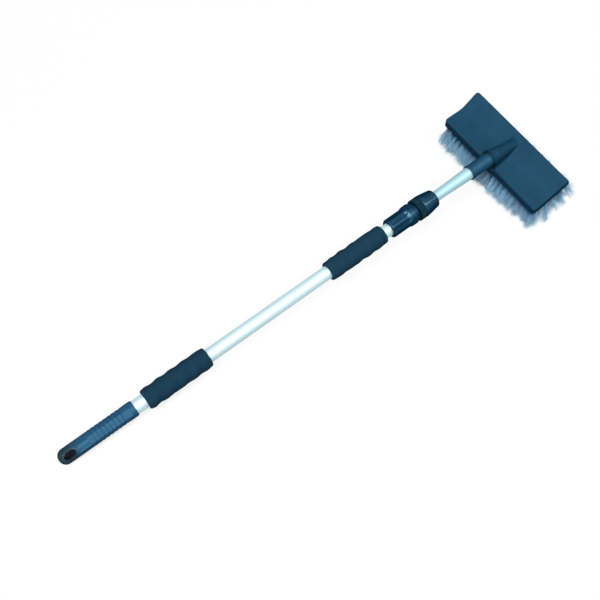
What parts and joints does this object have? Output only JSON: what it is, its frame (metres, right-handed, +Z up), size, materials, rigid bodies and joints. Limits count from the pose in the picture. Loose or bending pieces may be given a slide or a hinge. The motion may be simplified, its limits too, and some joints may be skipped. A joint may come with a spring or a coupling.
{
  "type": "telescopic car wash brush",
  "caption": "Telescopic car wash brush: collapsed two-section aluminium pole with foam grips, ribbed end handle, twist lock and a two-level head with splayed blue-grey bristles.",
  "frame": {"origin": "centre of the bounding box's bottom face, on the floor that the brush lies on", "axes": "+X from the end handle to the brush head, seen from above; +Z up; +Y to the left of someone who looks from the handle to the head"},
  "size_m": [1.0736, 0.2724, 0.1138],
  "materials": {
    "grip_plastic": "satin moulded",
    "lock_plastic": "gloss moulded",
    "neck_plastic": "satin moulded",
    "head_plastic": "matt moulded",
    "natural_plastic": "natural moulded",
    "foam": "closed-cell foam",
    "aluminium": "satin anodised",
    "bristle": "flagged filament",
    "screw_steel": "zinc plated"
  },
  "bodies": {
    "outer_pole": {"end_handle": "grip_plastic", "outer_tube": "aluminium", "lower_foam_grip": "foam", "upper_foam_grip": "foam", "lock_sleeve": "lock_plastic", "lock_collet": "natural_plastic"},
    "lock_ring": {"lock_nut": "lock_plastic"},
    "guide": {"guide_ring": "natural_plastic"},
    "inner_pole": {"inner_tube": "aluminium", "tube_plug": "lock_plastic", "neck_sleeve": "neck_plastic", "neck_rivet": "aluminium", "head_cover": "head_plastic", "tuft_plate": "head_plastic", "bristle_row_1": "bristle", "bristle_row_2": "bristle", "bristle_row_3": "bristle", "bristle_row_4": "bristle", "bristle_row_5": "bristle", "bristle_row_6": "bristle", "plate_screw_1": "screw_steel", "plate_screw_2": "screw_steel", "plate_screw_3": "screw_steel", "plate_screw_4": "screw_steel"}
  },
  "joints": [
    {"name": "pole_slide", "type": "slide", "parent": "outer_pole", "child": "guide", "axis": [0.9961, 0, 0.0885], "range_m": [0, 0.45]},
    {"name": "head_turn", "type": "hinge", "parent": "guide", "child": "inner_pole", "pos_m": [-0.32058, 0, 0.03211], "axis": [0.9961, 0, 0.0885], "continuous": true},
    {"name": "lock_nut_turn", "type": "hinge", "parent": "outer_pole", "child": "lock_ring", "pos_m": [0.22079, 0, 0.08022], "axis": [0.9961, 0, 0.0885], "range_deg": [0, 120]}
  ]
}
